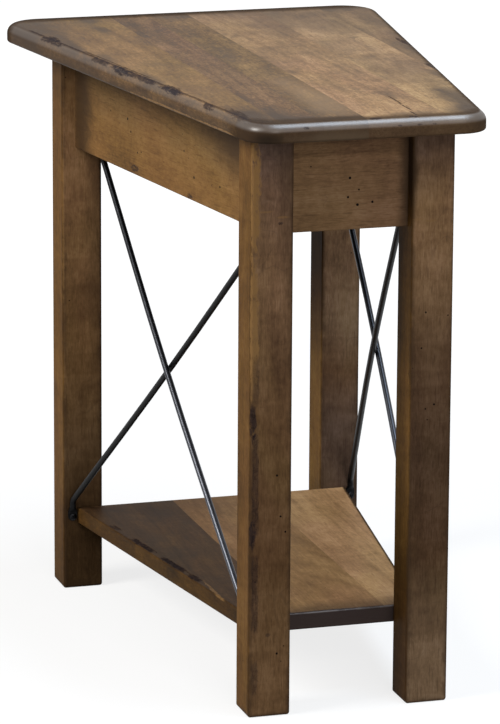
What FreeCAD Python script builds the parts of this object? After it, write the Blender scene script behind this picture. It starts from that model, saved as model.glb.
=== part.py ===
import FreeCAD, Part
import math
import os

# A wedge-shaped end table in the rustic American style, in millimetres.
# +Z is up, +Y runs from the narrow front end to the wide back end, +X is to the right.
# The origin is on the floor under the middle of the top.

# Top: a tapered slab, glued up from boards that run front to back
height = 610.0
top_thickness = 19.0
top_depth = 651.0
top_width_front = 239.0
top_width_back = 428.0
top_corner_radius_front = 30.0
top_corner_radius_back = 40.0
top_edge_round = 10.0
top_lower_ease = 2.5
top_glue_line_shares = (-0.42, -0.23, -0.02, 0.36, 0.68)

# Legs: square and upright, set square to the table's axis
leg_side = 43.5
leg_spread_front = 208.5
leg_spread_back = 335.0
leg_run = 525.0
leg_edge_ease = 3.0
top_overhang_front = 57.5

# Aprons, with their tenons
apron_height = 103.5
apron_thickness = 16.0
apron_setback = 14.5
apron_edge_ease = 1.5
side_apron_inset_front = 16.0
side_apron_inset_back = 14.5
tenon_thickness = 7.0
tenon_shoulder = 12.0
haunch_height = 15.0
haunch_depth = 6.0
tenon_clearance = 0.1
tenon_mitre_gap = 0.5

# Shelf: a tapered slab between the legs, glued up like the top
shelf_height = 91.0
shelf_thickness = 17.5
shelf_inset_front = 16.0
shelf_inset_back = 15.0
shelf_edge_ease = 1.8
shelf_glue_line_shares = (-0.3, 0.34)
dowel_radius = 4.0
dowel_length = 36.0
dowel_hole_clearance = 0.1
dowel_hole_spare = 1.0
dowel_insets = (25.0, 36.0)

# Brace rods: round steel, with ends flattened, bent upright and drilled
rod_radius = 3.2
rod_gap = 0.3
rod_bend_radius = 10.0
rod_spring_share = 0.45
brace_low_rise = 9.0
brace_high_rise = 8.0
brace_low_inset = 9.5
brace_apron_gap = 1.2
tab_neck = 7.0
tab_forge_run = 6.0
tab_reach = 5.5
tab_width = 9.5
tab_thickness = 3.0

# Corner blocks behind the apron corners
block_thickness = 16.0
block_height = 40.0
block_leg_gap = 2.0
block_screw_floor = 8.0
block_top_screw_offset = 12.0

# Buttons that hold the top to the side aprons
button_length = 30.0
button_width = 24.0
button_stand_off = 1.0
button_tongue_length = 7.0
button_tongue_thickness = 6.5
button_slot_drop = 9.5
button_slot_clearance = 0.5
button_place_shares = (0.27, 0.73)

# Screws: shank radius, head radius, head height and length under the head
screw_hole_clearance = 0.1
screw_hole_spare = 1.0
brace_screw_radius = 2.0
brace_screw_head_radius = 3.9
brace_screw_head_height = 2.6
brace_screw_wall = 1.5
wood_screw_radius = 2.0
wood_screw_head_radius = 3.8
wood_screw_head_height = 2.4
wood_screw_pocket_clearance = 0.4
apron_screw_bite = 10.0
top_screw_bite = 12.0
lag_radius = 3.0
lag_head_radius = 5.6
lag_head_height = 4.0
lag_wall = 3.0
screw_tip_share = 1.2
screw_rim_share = 0.4
screw_crown_share = 0.7

# One overrun serves every cut that has to break through a face, and one tolerance finds level edges
overrun = 5.0
level_tolerance = 0.05

# Places worked out from the sizes above
front_edge = -top_depth / 2
back_edge = top_depth / 2
front_face = front_edge + top_overhang_front
back_face = front_face + leg_run
top_underside = height - top_thickness
apron_bottom = top_underside - apron_height
inner_run = leg_run - 2 * leg_side
sides = {"left": -1, "right": 1}
ends = ("front", "back")
nodes = {}

UP = FreeCAD.Vector(0, 0, 1)


def plan(side, end, across, along):
    """Plan point of a corner: in from the leg's outer side face, and in from its end face."""
    if end == "front":
        return side * (leg_spread_front / 2 - across), front_face + along
    return side * (leg_spread_back / 2 - across), back_face - along


def point(side, end, across, along, level):
    """The same corner point, at a height over the floor."""
    x, y = plan(side, end, across, along)
    return FreeCAD.Vector(x, y, level)


def prism(corners, low, high):
    """A plan polygon raised from one height to another."""
    loop = [FreeCAD.Vector(x, y, low) for x, y in corners]
    face = Part.Face(Part.makePolygon(loop + loop[:1]))
    solid = face.extrude(UP * (high - low))
    return solid


def drill(start, direction, radius, depth):
    """A round bar or hole from a point along a direction."""
    return Part.makeCylinder(radius, depth, start, direction)


def at_heading(shape, origin, direction):
    """A shape made along +Z, turned to a direction and moved to its origin."""
    placed = shape.copy()
    placed.Placement = FreeCAD.Placement(origin, FreeCAD.Rotation(UP, direction))
    return placed


def cut_all(solid, tools):
    """The solid less every tool that reaches it."""
    if not tools:
        return solid
    return solid.cut(tools)


# Slant of the side aprons, and their size measured straight across the table
apron_front_half = leg_spread_front / 2 - side_apron_inset_front
apron_back_half = leg_spread_back / 2 - side_apron_inset_back
apron_slope = (apron_back_half - apron_front_half) / inner_run
apron_slant = math.atan(apron_slope)
side_apron_across = apron_thickness / math.cos(apron_slant)
side_apron_insets = {"front": side_apron_inset_front, "back": side_apron_inset_back}


def tenon_centre_across(end):
    """Distance from the leg's outer side face to the middle of the side apron's tenon."""
    return side_apron_insets[end] + side_apron_across / 2


tenon_centre_along = apron_setback + apron_thickness / 2
tenon_low = apron_bottom + tenon_shoulder
tenon_high = top_underside - haunch_height

# Inner faces of the tenons in the legs, which the screws must stop short of
end_tenon_face = tenon_centre_along + tenon_thickness / 2
side_tenon_face = max(tenon_centre_across(end) for end in ends) + tenon_thickness / 2
brace_screw_bite = leg_side - end_tenon_face - brace_screw_wall
brace_screw_length = tab_thickness + brace_screw_bite
lag_room = leg_side - max(end_tenon_face, side_tenon_face)
lag_bite = lag_room * math.sqrt(2) - lag_radius - lag_wall


def side_tenon(side, end):
    """Tenon and haunch of a side apron: square to the leg, mitred where it meets its neighbour."""
    middle = tenon_centre_across(end)
    half = tenon_thickness / 2
    gap = tenon_mitre_gap / 2
    tongue = [(middle - half, leg_side), (middle + half, leg_side),
              (middle + half, tenon_centre_along + half + gap),
              (middle - half, tenon_centre_along - half + gap)]
    stub = [(middle - half, leg_side), (middle + half, leg_side),
            (middle + half, leg_side - haunch_depth), (middle - half, leg_side - haunch_depth)]
    long_part = prism([plan(side, end, a, b) for a, b in tongue], tenon_low, tenon_high)
    haunch = prism([plan(side, end, a, b) for a, b in stub], tenon_high, top_underside)
    return long_part.fuse(haunch)


def end_tenon(side, end):
    """Tenon and haunch of the front or back apron, mitred against the side apron's tenon."""
    middle = tenon_centre_along
    half = tenon_thickness / 2
    gap = tenon_mitre_gap / 2
    reach = tenon_centre_across(end)
    tongue = [(leg_side, middle - half), (leg_side, middle + half),
              (reach + half + gap, middle + half), (reach - half + gap, middle - half)]
    stub = [(leg_side, middle - half), (leg_side, middle + half),
            (leg_side - haunch_depth, middle + half), (leg_side - haunch_depth, middle - half)]
    long_part = prism([plan(side, end, a, b) for a, b in tongue], tenon_low, tenon_high)
    haunch = prism([plan(side, end, a, b) for a, b in stub], tenon_high, top_underside)
    return long_part.fuse(haunch)


def mortises(side, end):
    """The two mortises of a leg, each with its open haunch groove at the top."""
    across = tenon_centre_across(end)
    along = tenon_centre_along
    half = tenon_thickness / 2 + tenon_clearance
    low = tenon_low - tenon_clearance
    high = tenon_high + tenon_clearance
    top = top_underside + overrun
    mouth = leg_side + overrun
    haunch_floor = leg_side - haunch_depth - tenon_clearance
    plans = [
        (across - half, along - half, across + half, mouth, low, high),
        (across - half, along - half, mouth, along + half, low, high),
        (across - half, haunch_floor, across + half, mouth, tenon_high, top),
        (haunch_floor, along - half, mouth, along + half, tenon_high, top),
    ]
    tools = []
    for a0, b0, a1, b1, z0, z1 in plans:
        loop = [(a0, b0), (a1, b0), (a1, b1), (a0, b1)]
        tools.append(prism([plan(side, end, a, b) for a, b in loop], z0, z1))
    return tools


def inward(end):
    """Direction along Y from an end's legs towards the middle of the table."""
    if end == "front":
        return FreeCAD.Vector(0, 1, 0)
    return FreeCAD.Vector(0, -1, 0)


# Heights of the rods' tabs: where the flat begins, and where its screw sits
def tab_levels(upper):
    """Heights of a tab's bend, neck end, flat start and screw."""
    bend = apron_bottom + brace_high_rise if upper else shelf_height + brace_low_rise
    way = 1 if upper else -1
    neck = bend + way * tab_neck
    flat = neck + way * tab_forge_run
    screw = flat + way * tab_reach
    return bend, neck, flat, screw


# The upper tabs sit beside the side aprons, on the legs' inner faces
brace_high_inset = max(side_apron_insets.values()) + side_apron_across + brace_apron_gap + tab_width / 2
brace_insets = {False: brace_low_inset, True: brace_high_inset}
shelf_middle = shelf_height - shelf_thickness / 2


def leg(side, end):
    """A square leg with eased edges, mortised, and bored for dowels and screws."""
    loop = [plan(side, end, a, b) for a, b in
            ((0, 0), (leg_side, 0), (leg_side, leg_side), (0, leg_side))]
    post = prism(loop, 0, top_underside)
    eased = []
    for edge in post.Edges:
        if edge.CenterOfMass.z < top_underside - leg_edge_ease:
            eased.append(edge)
    post = post.makeFillet(leg_edge_ease, eased)
    tools = mortises(side, end)
    outward = inward(end) * -1
    hole = brace_screw_radius + screw_hole_clearance
    for upper, inset in brace_insets.items():
        level = tab_levels(upper)[3]
        mouth = point(side, end, inset, leg_side + overrun, level)
        depth = brace_screw_bite + screw_hole_spare + overrun
        tools.append(drill(mouth, outward, hole, depth))
    for inset in dowel_insets:
        mouth = point(side, end, inset, leg_side + overrun, shelf_middle)
        depth = dowel_length / 2 + dowel_hole_spare + overrun
        tools.append(drill(mouth, outward, dowel_radius + dowel_hole_clearance, depth))
    start = point(side, end, leg_side + lag_bite, leg_side + lag_bite, block_middle)
    reach = lag_bite * math.sqrt(2) + lag_bite
    tools.append(drill(start, lag_direction(side, end), lag_radius + screw_hole_clearance, reach))
    return cut_all(post, tools)


# Corner blocks lie across the corner at 45 degrees, close to the leg's inner edge
block_low = top_underside - block_height
block_middle = top_underside - block_height / 2
block_near = 2 * leg_side + block_leg_gap
block_far = block_near + block_thickness * math.sqrt(2)
end_apron_inner = apron_setback + apron_thickness


def lag_direction(side, end):
    """Plan direction from the table's inside to the leg, at 45 degrees."""
    return FreeCAD.Vector(side, -inward(end).y, 0).normalize()


def on_side_apron(end, diagonal):
    """Where a 45 degree line meets the side apron's inner face, as corner distances."""
    slope = -apron_slope if end == "front" else apron_slope
    start = side_apron_insets[end] + side_apron_across
    along = (diagonal - start + slope * leg_side) / (1 + slope)
    return diagonal - along, along


def block_outline(end):
    """The block's four plan corners, as distances from the leg's outer faces."""
    return [(block_near - end_apron_inner, end_apron_inner),
            (block_far - end_apron_inner, end_apron_inner),
            on_side_apron(end, block_far),
            on_side_apron(end, block_near)]


def apron_normal(side):
    """Unit vector out of a side apron's inner face, towards the middle of the table."""
    return FreeCAD.Vector(-side * math.cos(apron_slant), math.sin(apron_slant), 0)


def block_apron_screws(side, end):
    """Seat point and driving direction of the two screws from a block into its aprons."""
    a, b, c, d = block_outline(end)
    end_foot = point(side, end, (a[0] + b[0]) / 2, end_apron_inner, block_middle)
    side_foot = point(side, end, (c[0] + d[0]) / 2, (c[1] + d[1]) / 2, block_middle)
    into_end = inward(end) * -1
    into_side = apron_normal(side) * -1
    return [(end_foot - into_end * block_screw_floor, into_end),
            (side_foot - into_side * block_screw_floor, into_side)]


def block_top_screw(side, end):
    """Seat point of the screw that rises through a block into the top."""
    shift = block_top_screw_offset / math.sqrt(2)
    middle = (block_near + block_far) / 4
    return point(side, end, middle + shift, middle - shift, block_low)


def block_lag_seat(side, end):
    """Where the lag screw's head bears on the block's inner face."""
    return point(side, end, block_far / 2, block_far / 2, block_middle)


def screw(seat, direction, shank, head, head_height, length):
    """A pan-headed screw: a bevelled head behind its seat, a shank and a point before it."""
    tip = length - shank * screw_tip_share
    rim = head_height * screw_rim_share
    profile = [(0, length), (shank, tip), (shank, 0), (head, 0), (head, -rim),
               (head * screw_crown_share, -head_height), (0, -head_height)]
    corners = [FreeCAD.Vector(r, 0, z) for r, z in profile]
    body = Part.Face(Part.makePolygon(corners + corners[:1])).revolve(FreeCAD.Vector(0, 0, 0), UP, 360)
    return at_heading(body, seat, direction)


def hex_screw(seat, direction, shank, head, head_height, length):
    """A lag screw: a six-sided head behind its seat, a shank and a point before it."""
    corners = []
    for step in range(6):
        turn = 2 * math.pi * step / 6
        corners.append(FreeCAD.Vector(head * math.cos(turn), head * math.sin(turn), -head_height))
    cap = Part.Face(Part.makePolygon(corners + corners[:1])).extrude(UP * head_height)
    taper = shank * screw_tip_share
    bar = Part.makeCylinder(shank, length - taper)
    tip = Part.makeCone(shank, 0, taper, UP * (length - taper))
    return at_heading(cap.fuse([bar, tip]).removeSplitter(), seat, direction)


def low_long_edges(solid, level, least):
    """The long edges that lie at a level."""
    found = []
    for edge in solid.Edges:
        flat = all(abs(v.Z - level) < level_tolerance for v in edge.Vertexes)
        if flat and edge.Length > least:
            found.append(edge)
    return found


def button_frame(side, share):
    """Foot point on a side apron's inner face, and the directions inward and along it."""
    out = apron_normal(side)
    first = point(side, "front", side_apron_inset_front + side_apron_across, leg_side, top_underside)
    last = point(side, "back", side_apron_inset_back + side_apron_across, leg_side, top_underside)
    foot = first + (last - first) * share
    along = (last - first).normalize()
    return foot, out, along


button_height = button_slot_drop + button_tongue_thickness


def swept_profile(frame, profile, width):
    """A profile given as (distance off the apron, height), carried along the apron."""
    foot, out, along = frame
    loop = [foot + out * s + UP * z - along * (width / 2) for s, z in profile]
    face = Part.Face(Part.makePolygon(loop + loop[:1]))
    return face.extrude(along * width)


def button(frame):
    """A rabbeted wooden button, its tongue in the apron's slot and its back against the top."""
    profile = [(-button_tongue_length, -button_height), (-button_tongue_length, -button_slot_drop),
               (button_stand_off, -button_slot_drop), (button_stand_off, 0),
               (button_length, 0), (button_length, -button_height)]
    body = swept_profile(frame, profile, button_width)
    seat, radius = button_screw_seat(frame), wood_screw_radius + screw_hole_clearance
    return body.cut(drill(seat - UP * overrun, UP, radius, button_height + 2 * overrun))


def button_screw_seat(frame):
    """Where a button's screw bears on the button's underside."""
    foot, out, along = frame
    return foot + out * ((button_stand_off + button_length) / 2) - UP * button_height


def button_slot(frame):
    """The slot that a button's tongue enters, with room at its sides, floor and end."""
    depth = button_tongue_length + button_slot_clearance
    floor = -button_height - button_slot_clearance
    profile = [(-depth, floor), (-depth, -button_slot_drop), (overrun, -button_slot_drop), (overrun, floor)]
    return swept_profile(frame, profile, button_width + 2 * button_slot_clearance)


def apron_screw_holes(side, end):
    """Pilot holes in the aprons for one block's two screws: end apron's, then side apron's."""
    radius = wood_screw_radius + screw_hole_clearance
    reach = block_screw_floor + apron_screw_bite + screw_hole_clearance
    return [drill(seat, way, radius, reach) for seat, way in block_apron_screws(side, end)]


def side_apron(side):
    """A long apron on the slant, shouldered flat against the legs' square faces."""
    inner = {end: side_apron_insets[end] + side_apron_across for end in ends}
    loop = [plan(side, "front", side_apron_insets["front"], leg_side),
            plan(side, "front", inner["front"], leg_side),
            plan(side, "back", inner["back"], leg_side),
            plan(side, "back", side_apron_insets["back"], leg_side)]
    board = prism(loop, apron_bottom, top_underside)
    board = board.makeFillet(apron_edge_ease, low_long_edges(board, apron_bottom, 2 * apron_thickness))
    board = board.fuse([side_tenon(side, end) for end in ends]).removeSplitter()
    tools = [button_slot(button_frame(side, share)) for share in button_place_shares]
    tools += [apron_screw_holes(side, end)[1] for end in ends]
    return cut_all(board, tools)


def end_apron(end):
    """The short front apron or the wider back apron, square between its legs."""
    loop = [plan(-1, end, leg_side, apron_setback), plan(1, end, leg_side, apron_setback),
            plan(1, end, leg_side, end_apron_inner), plan(-1, end, leg_side, end_apron_inner)]
    board = prism(loop, apron_bottom, top_underside)
    board = board.makeFillet(apron_edge_ease, low_long_edges(board, apron_bottom, 2 * apron_thickness))
    board = board.fuse([end_tenon(side, end) for side in sides.values()]).removeSplitter()
    tools = [apron_screw_holes(side, end)[0] for side in sides.values()]
    return cut_all(board, tools)


def corner_block(side, end):
    """A 45 degree block glued to both aprons, with pockets and holes for its screws."""
    block = prism([plan(side, end, a, b) for a, b in block_outline(end)], block_low, top_underside)
    hole = wood_screw_radius + screw_hole_clearance
    pocket = wood_screw_head_radius + wood_screw_pocket_clearance
    tools = []
    for seat, way in block_apron_screws(side, end):
        tools.append(drill(seat - way * overrun, way, hole, block_screw_floor + 2 * overrun))
        tools.append(drill(seat, way * -1, pocket, block_thickness + overrun))
    tools.append(drill(block_top_screw(side, end) - UP * overrun, UP, hole, block_height + 2 * overrun))
    way = lag_direction(side, end)
    lag_hole = lag_radius + screw_hole_clearance
    lag_start = block_lag_seat(side, end) - way * overrun
    tools.append(drill(lag_start, way, lag_hole, block_thickness + 2 * overrun))
    return cut_all(block, tools)


def arc_at(before, corner, after, radius):
    """The rounding of a path's corner: its first, middle and last points."""
    back = (before - corner).normalize()
    ahead = (after - corner).normalize()
    half = back.getAngle(ahead) / 2
    bisector = (back + ahead).normalize()
    run = radius / math.tan(half)
    centre = corner + bisector * (radius / math.sin(half))
    return corner + back * run, centre - bisector * radius, corner + ahead * run


def rounded_path(points, radii):
    """Straight runs joined by tangent arcs of the given radii."""
    edges = []
    start = points[0]
    for i, radius in enumerate(radii):
        first, middle, last = arc_at(points[i], points[i + 1], points[i + 2], radius)
        edges.append(Part.LineSegment(start, first).toShape())
        edges.append(Part.Arc(first, middle, last).toShape())
        start = last
    edges.append(Part.LineSegment(start, points[-1]).toShape())
    return Part.Wire(edges)


# A flattened end and the round rod share one split of their outline, at these angles
tab_corner_angle = math.atan2(tab_thickness, tab_width)


def round_section(centre):
    """The rod's level outline as four arcs, which face the flat's four sides."""
    turns = [tab_corner_angle, math.pi - tab_corner_angle,
             math.pi + tab_corner_angle, 2 * math.pi - tab_corner_angle]
    edges = []
    for first, last in zip(turns, turns[1:] + [turns[0] + 2 * math.pi]):
        spots = []
        for turn in (first, (first + last) / 2, last):
            spots.append(centre + FreeCAD.Vector(rod_radius * math.cos(turn), rod_radius * math.sin(turn), 0))
        edges.append(Part.Arc(*spots).toShape())
    return Part.Wire(edges)


def flat_section(centre):
    """The flattened end's level outline, with its corners in the same order."""
    half = tab_width / 2
    deep = tab_thickness / 2
    corners = [centre + FreeCAD.Vector(a, b, 0) for a, b in
               ((half, deep), (-half, deep), (-half, -deep), (half, -deep))]
    return Part.makePolygon(corners + corners[:1])


def tab(side, end, upper):
    """A rod's end hammered flat: a tapered neck, then a drilled plate with a round end."""
    inset = brace_insets[upper]
    bend, neck, flat, hole = tab_levels(upper)
    rod_centre = point(side, end, inset, leg_side + rod_radius + rod_gap, neck)
    plate_centre = point(side, end, inset, leg_side + tab_thickness / 2, flat)
    forged = Part.makeLoft([round_section(rod_centre), flat_section(plate_centre)], True, True)
    plate = Part.Face(flat_section(plate_centre)).extrude(UP * (hole - flat))
    way = inward(end)
    eye = point(side, end, inset, leg_side, hole)
    disc = drill(eye, way, tab_width / 2, tab_thickness)
    hole_radius = brace_screw_radius + screw_hole_clearance
    bore = drill(eye - way * overrun, way, hole_radius, 2 * overrun + tab_thickness)
    return forged.fuse([plate, disc]).cut(bore)


def brace_ends(outer):
    """The ends of the table where a rod is low and where it is high."""
    return ("front", "back") if outer else ("back", "front")


def brace_bends(side, outer):
    """Where a rod's centre line turns upright, at its low tab and at its high one."""
    low_end, high_end = brace_ends(outer)
    stand = leg_side + rod_radius + rod_gap
    low = point(side, low_end, brace_low_inset, stand, tab_levels(False)[0])
    high = point(side, high_end, brace_high_inset, stand, tab_levels(True)[0])
    return low, high


def brace(side, outer):
    """One rod: up from a low tab to a high one at the other end, sprung past its partner."""
    low_end, high_end = brace_ends(outer)
    low_neck = tab_levels(False)[1]
    high_neck = tab_levels(True)[1]
    low, high = brace_bends(side, outer)
    other_low, other_high = brace_bends(side, not outer)
    square_off = abs((high - low).cross(other_high - other_low).normalize().x)
    spring = (rod_radius + rod_gap / 2) / square_off / (1 - rod_spring_share / 2)
    middle = (low + high) / 2 + FreeCAD.Vector(side * spring * (1 if outer else -1), 0, 0)
    low_start = FreeCAD.Vector(low.x, low.y, low_neck)
    high_stop = FreeCAD.Vector(high.x, high.y, high_neck)
    half_turn = (math.pi - (low - middle).getAngle(high - middle)) / 2
    long_radius = rod_spring_share * (low - middle).Length / math.tan(half_turn)
    path = rounded_path([low_start, low, middle, high, high_stop],
                        [rod_bend_radius, long_radius, rod_bend_radius])
    bar = path.makePipeShell([round_section(low_start)], True, False)
    ends_of_rod = [tab(side, low_end, False), tab(side, high_end, True)]
    return bar.fuse(ends_of_rod).removeSplitter()


def rounded_trapezoid(corners, radii):
    """A closed outline through the corners, each rounded by its radius."""
    count = len(corners)
    arcs = []
    for i in range(count):
        before = FreeCAD.Vector(*corners[i - 1])
        here = FreeCAD.Vector(*corners[i])
        after = FreeCAD.Vector(*corners[(i + 1) % count])
        arcs.append(arc_at(before, here, after, radii[i]))
    edges = []
    for i, (first, middle, last) in enumerate(arcs):
        edges.append(Part.Arc(first, middle, last).toShape())
        edges.append(Part.LineSegment(last, arcs[(i + 1) % count][0]).toShape())
    return Part.Wire(edges)


def level_edges(solid, level):
    """All edges of a slab's outline at one level."""
    return [edge for edge in solid.Edges
            if all(abs(v.Z - level) < level_tolerance for v in edge.Vertexes)]


def boards(slab, half_width, shares, low, high, holes):
    """Boards cut from a slab at its glue lines, left to right, each bored where it is met."""
    reach = half_width + overrun
    lines = [-reach] + [share * half_width for share in shares] + [reach]
    cut = []
    for left, right in zip(lines, lines[1:]):
        strip = prism([(left, front_edge - overrun), (right, front_edge - overrun),
                       (right, back_edge + overrun), (left, back_edge + overrun)], low, high)
        cut.append(cut_all(slab.common(strip), holes))
    return cut


def top_boards():
    """The top's boards: a slab with a rolled upper edge, divided at its glue lines."""
    front_half = top_width_front / 2
    back_half = top_width_back / 2
    corners = [(-front_half, front_edge, top_underside), (front_half, front_edge, top_underside),
               (back_half, back_edge, top_underside), (-back_half, back_edge, top_underside)]
    radii = [top_corner_radius_front, top_corner_radius_front,
             top_corner_radius_back, top_corner_radius_back]
    slab = Part.Face(rounded_trapezoid(corners, radii)).extrude(UP * top_thickness)
    slab = slab.makeFillet(top_edge_round, level_edges(slab, height))
    slab = slab.makeFillet(top_lower_ease, level_edges(slab, top_underside))
    radius = wood_screw_radius + screw_hole_clearance
    depth = top_screw_bite + screw_hole_clearance
    holes = []
    for side in sides.values():
        for end in ends:
            foot = block_top_screw(side, end) + UP * block_height
            holes.append(drill(foot - UP * overrun, UP, radius, depth + overrun))
        for share in button_place_shares:
            foot = button_screw_seat(button_frame(side, share)) + UP * button_height
            holes.append(drill(foot - UP * overrun, UP, radius, depth + overrun))
    return boards(slab, back_half, top_glue_line_shares, top_underside - overrun, height + overrun, holes)


def dowels():
    """Place and direction of each shelf dowel, from inside the leg into the shelf."""
    found = []
    for side in sides.values():
        for end in ends:
            for inset in dowel_insets:
                way = inward(end)
                start = point(side, end, inset, leg_side - dowel_length / 2, shelf_middle)
                found.append((start, way))
    return found


def shelf_boards():
    """The shelf's boards: a thinner slab whose ends butt against the legs."""
    low = shelf_height - shelf_thickness
    corners = [plan(-1, "front", shelf_inset_front, leg_side), plan(1, "front", shelf_inset_front, leg_side),
               plan(1, "back", shelf_inset_back, leg_side), plan(-1, "back", shelf_inset_back, leg_side)]
    slab = prism(corners, low, shelf_height)
    slab = slab.makeFillet(shelf_edge_ease, level_edges(slab, shelf_height) + level_edges(slab, low))
    holes = []
    for start, way in dowels():
        length = dowel_length + dowel_hole_spare
        holes.append(drill(start, way, dowel_radius + dowel_hole_clearance, length))
    back_half = leg_spread_back / 2 - shelf_inset_back
    return boards(slab, back_half, shelf_glue_line_shares, low - overrun, shelf_height + overrun, holes)


def number(name, solids):
    """Adds a row of numbered nodes."""
    for i, solid in enumerate(solids):
        nodes[f"{name}_{i + 1}"] = solid


# Boards of the top and the shelf, numbered from the left
number("top_board", top_boards())
number("shelf_board", shelf_boards())

# Legs, aprons, corner blocks and buttons
for hand, side in sides.items():
    for end in ends:
        nodes[f"leg_{end}_{hand}"] = leg(side, end)
        nodes[f"corner_block_{end}_{hand}"] = corner_block(side, end)
    nodes[f"apron_{hand}"] = side_apron(side)
    for end, share in zip(ends, button_place_shares):
        nodes[f"top_button_{end}_{hand}"] = button(button_frame(side, share))
    nodes[f"brace_{hand}_outer"] = brace(side, True)
    nodes[f"brace_{hand}_inner"] = brace(side, False)
for end in ends:
    nodes[f"apron_{end}"] = end_apron(end)

# Screws and dowels, in groups of identical pieces
brace_screws = []
lag_screws = []
apron_screws = []
corner_top_screws = []
button_screws = []
for side in sides.values():
    for end in ends:
        for upper, inset in brace_insets.items():
            seat = point(side, end, inset, leg_side + tab_thickness, tab_levels(upper)[3])
            brace_screws.append(screw(seat, inward(end) * -1, brace_screw_radius, brace_screw_head_radius,
                                      brace_screw_head_height, brace_screw_length))
        lag_length = (block_far - 2 * leg_side) / math.sqrt(2) + lag_bite
        lag_screws.append(hex_screw(block_lag_seat(side, end), lag_direction(side, end), lag_radius,
                                    lag_head_radius, lag_head_height, lag_length))
        for seat, way in block_apron_screws(side, end):
            apron_screws.append(screw(seat, way, wood_screw_radius, wood_screw_head_radius,
                                      wood_screw_head_height, block_screw_floor + apron_screw_bite))
        corner_top_screws.append(screw(block_top_screw(side, end), UP, wood_screw_radius,
                                       wood_screw_head_radius, wood_screw_head_height,
                                       block_height + top_screw_bite))
    for share in button_place_shares:
        seat = button_screw_seat(button_frame(side, share))
        button_screws.append(screw(seat, UP, wood_screw_radius, wood_screw_head_radius,
                                   wood_screw_head_height, button_height + top_screw_bite))
nodes["brace_screws"] = Part.makeCompound(brace_screws)
nodes["corner_lag_screws"] = Part.makeCompound(lag_screws)
nodes["corner_apron_screws"] = Part.makeCompound(apron_screws)
nodes["corner_top_screws"] = Part.makeCompound(corner_top_screws)
nodes["button_screws"] = Part.makeCompound(button_screws)
nodes["shelf_dowels"] = Part.makeCompound([drill(start, way, dowel_radius, dowel_length)
                                           for start, way in dowels()])

# Each piece goes to its own file, and its solids and volume are printed
os.makedirs("parts", exist_ok=True)
for name, shape in nodes.items():
    print(name, len(shape.Solids), round(shape.Volume), shape.isValid())
    shape.exportStep(f"parts/{name}.step")
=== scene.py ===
import math

import bpy
from mathutils import Matrix, Vector


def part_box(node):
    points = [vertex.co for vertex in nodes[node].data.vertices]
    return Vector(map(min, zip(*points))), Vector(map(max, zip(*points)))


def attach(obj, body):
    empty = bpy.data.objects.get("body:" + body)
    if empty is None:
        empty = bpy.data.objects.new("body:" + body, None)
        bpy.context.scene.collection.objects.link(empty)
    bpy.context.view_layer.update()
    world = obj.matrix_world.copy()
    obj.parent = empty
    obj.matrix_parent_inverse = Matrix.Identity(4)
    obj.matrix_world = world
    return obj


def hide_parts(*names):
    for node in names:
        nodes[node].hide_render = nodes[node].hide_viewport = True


# A wedge-shaped end table: stained maple boards with burnished edges, and crossed black rods.
# Lengths are in metres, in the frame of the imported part: +Z up, the narrow end towards -Y.
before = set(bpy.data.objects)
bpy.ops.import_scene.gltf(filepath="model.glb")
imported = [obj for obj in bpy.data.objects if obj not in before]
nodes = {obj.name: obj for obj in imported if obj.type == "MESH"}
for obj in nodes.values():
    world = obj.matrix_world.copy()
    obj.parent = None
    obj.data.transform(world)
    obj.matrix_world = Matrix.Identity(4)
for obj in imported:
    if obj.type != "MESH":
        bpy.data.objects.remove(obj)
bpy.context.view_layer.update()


def box_of(*names):
    """Lowest and highest corners of several CAD nodes together."""
    boxes = [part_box(name) for name in names]
    low = Vector(min(b[0][i] for b in boxes) for i in range(3))
    high = Vector(max(b[1][i] for b in boxes) for i in range(3))
    return low, high


# The top's outline: half widths at its two ends before its corners are rounded, and their radii
top_half_front = 0.1195
top_half_back = 0.214
top_radius_front = 0.030
top_radius_back = 0.040
# The side aprons and the shelf start this far inside the front legs' outer faces
side_inset = 0.016

# Faces and levels, from the frame
top_names = [f"top_board_{i}" for i in range(1, 7)]
shelf_names = [f"shelf_board_{i}" for i in range(1, 4)]
top_low, top_high = box_of(*top_names)
shelf_low, shelf_high = box_of(*shelf_names)
leg_low, leg_high = box_of("leg_front_left")
back_leg_low = box_of("leg_back_left")[0]
front_apron_low = box_of("apron_front")[0]
left_apron_low = box_of("apron_left")[0]
table_height = top_high.z

# The side aprons' outer faces: their half widths at the legs, and how they spread towards the back
side_half_front = -leg_low.x - side_inset
side_half_back = -left_apron_low.x
side_slope = (side_half_back - side_half_front) / (back_leg_low.y - leg_high.y)


def side_face(y):
    """Where the left apron's outer face lies across the table, at a place along it."""
    return -side_half_front - side_slope * (y - leg_high.y)


def tone(red, green, blue):
    """A display colour, 0 to 255, as a linear one."""
    def linear(value):
        share = value / 255
        return share / 12.92 if share <= 0.04045 else ((share + 0.055) / 1.055) ** 2.4
    return (linear(red), linear(green), linear(blue), 1.0)


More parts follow.
